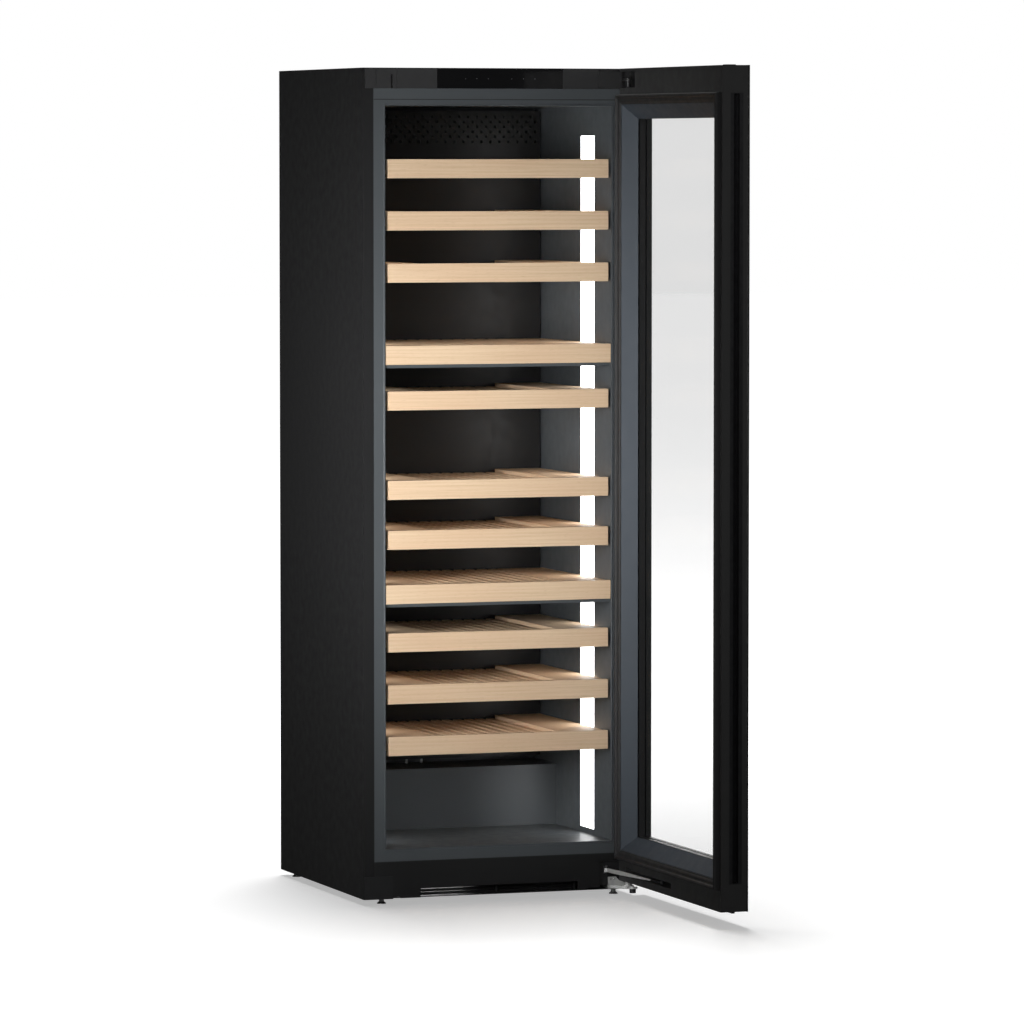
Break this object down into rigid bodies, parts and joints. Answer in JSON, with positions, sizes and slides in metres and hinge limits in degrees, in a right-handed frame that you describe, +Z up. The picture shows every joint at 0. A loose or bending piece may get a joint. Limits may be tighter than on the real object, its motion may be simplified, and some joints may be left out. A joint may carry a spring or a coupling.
{
  "type": "wine cooler",
  "caption": "Tall free-standing wine cooler with a hinged glass door, pull-out wooden shelves, fixed zone shelves and side light columns, shown with its door open.",
  "frame": {"origin": "on the floor, under the middle of the cabinet's front edge", "axes": "+X to the right as seen from the front, +Y from the front to the back, +Z up"},
  "size_m": [0.731, 1.388, 2.0455],
  "materials": {
    "dark_sheet": "satin",
    "foam": "matte",
    "liner": "satin",
    "fascia": "satin",
    "display": "gloss",
    "board": "satin",
    "light_cover": "satin",
    "black_plastic": "satin",
    "dark_plastic": "satin",
    "door_plastic": "satin",
    "slope_plastic": "satin",
    "rail_plastic": "satin",
    "bush_plastic": "satin",
    "bare_aluminium": "satin",
    "dark_aluminium": "satin",
    "zinc": "satin",
    "zinc_runner": "satin",
    "dark_casting": "satin",
    "beech": "satin",
    "gasket_rubber": "matte",
    "front_glass": "gloss",
    "clear_glass": "gloss"
  },
  "bodies": {
    "cabinet": {"left_side_panel": "dark_sheet", "right_side_panel": "dark_sheet", "top_panel": "dark_sheet", "back_panel": "dark_sheet", "base_tray": "dark_sheet", "foam_insulation": "foam", "inner_liner": "liner", "front_crossbar": "liner", "control_fascia": "fascia", "control_display": "display", "control_board": "board", "hinge_cover": "fascia", "light_columns": "light_cover", "air_duct_cover": "black_plastic", "evaporator": "bare_aluminium", "plinth_panel": "black_plastic", "plinth_corner": "black_plastic", "vent_grille": "black_plastic", "closer_housing": "dark_plastic", "levelling_feet": "zinc", "upper_hinge_bracket": "dark_sheet", "lower_hinge_bracket": "zinc", "hinge_stop_bolt": "black_plastic", "fixed_shelves": "beech", "zone_dividers": "liner", "shelf_channels": "rail_plastic", "compressor": "dark_casting", "condenser": "dark_sheet", "evaporation_tray": "dark_plastic", "power_inlet": "black_plastic"},
    "door": {"door_frame": "door_plastic", "door_slope_frame": "slope_plastic", "door_gasket": "gasket_rubber", "door_front_glass": "front_glass", "door_inner_panes": "clear_glass", "glazing_spacers": "dark_aluminium", "door_grip_profile": "dark_aluminium", "door_end_caps": "black_plastic", "hinge_bushes": "bush_plastic"},
    "closer_arm": {"closer_arm": "zinc"},
    "evaporator_fan": {"evaporator_fan": "black_plastic"},
    "condenser_fan": {"condenser_fan": "black_plastic"},
    "shelf_1": {"sliding_shelf_1": "beech", "shelf_runners_1": "zinc_runner"},
    "shelf_2": {"sliding_shelf_2": "beech", "shelf_runners_2": "zinc_runner"},
    "shelf_3": {"sliding_shelf_3": "beech", "shelf_runners_3": "zinc_runner"},
    "shelf_4": {"sliding_shelf_4": "beech", "shelf_runners_4": "zinc_runner"},
    "shelf_5": {"sliding_shelf_5": "beech", "shelf_runners_5": "zinc_runner"},
    "shelf_6": {"sliding_shelf_6": "beech", "shelf_runners_6": "zinc_runner"},
    "shelf_7": {"sliding_shelf_7": "beech", "shelf_runners_7": "zinc_runner"},
    "shelf_8": {"sliding_shelf_8": "beech", "shelf_runners_8": "zinc_runner"},
    "shelf_9": {"sliding_shelf_9": "beech", "shelf_runners_9": "zinc_runner"}
  },
  "joints": [
    {"name": "door_swing", "type": "hinge", "parent": "cabinet", "child": "door", "pos_m": [0.328, -0.024, 0.04], "axis": [0, 0, 1], "range_deg": [-90, 4]},
    {"name": "closer_swing", "type": "hinge", "parent": "cabinet", "child": "closer_arm", "pos_m": [0.28, -0.004, 0.06], "axis": [0, 0, 1], "range_deg": [-90, 4]},
    {"name": "evaporator_fan_spin", "type": "hinge", "parent": "cabinet", "child": "evaporator_fan", "pos_m": [0, 0.538, 1.74], "axis": [0, 1, 0], "continuous": true},
    {"name": "condenser_fan_spin", "type": "hinge", "parent": "cabinet", "child": "condenser_fan", "pos_m": [-0.08, 0.56, 0.112], "axis": [1, 0, 0], "continuous": true},
    {"name": "shelf_1_slide", "type": "slide", "parent": "cabinet", "child": "shelf_1", "axis": [0, -1, 0], "range_m": [0, 0.33]},
    {"name": "shelf_2_slide", "type": "slide", "parent": "cabinet", "child": "shelf_2", "axis": [0, -1, 0], "range_m": [0, 0.33]},
    {"name": "shelf_3_slide", "type": "slide", "parent": "cabinet", "child": "shelf_3", "axis": [0, -1, 0], "range_m": [0, 0.33]},
    {"name": "shelf_4_slide", "type": "slide", "parent": "cabinet", "child": "shelf_4", "axis": [0, -1, 0], "range_m": [0, 0.33]},
    {"name": "shelf_5_slide", "type": "slide", "parent": "cabinet", "child": "shelf_5", "axis": [0, -1, 0], "range_m": [0, 0.33]},
    {"name": "shelf_6_slide", "type": "slide", "parent": "cabinet", "child": "shelf_6", "axis": [0, -1, 0], "range_m": [0, 0.33]},
    {"name": "shelf_7_slide", "type": "slide", "parent": "cabinet", "child": "shelf_7", "axis": [0, -1, 0], "range_m": [0, 0.33]},
    {"name": "shelf_8_slide", "type": "slide", "parent": "cabinet", "child": "shelf_8", "axis": [0, -1, 0], "range_m": [0, 0.33]},
    {"name": "shelf_9_slide", "type": "slide", "parent": "cabinet", "child": "shelf_9", "axis": [0, -1, 0], "range_m": [0, 0.33]}
  ],
  "couplings": [
    {"joint": "closer_swing", "follows": "door_swing", "ratio": 1}
  ]
}
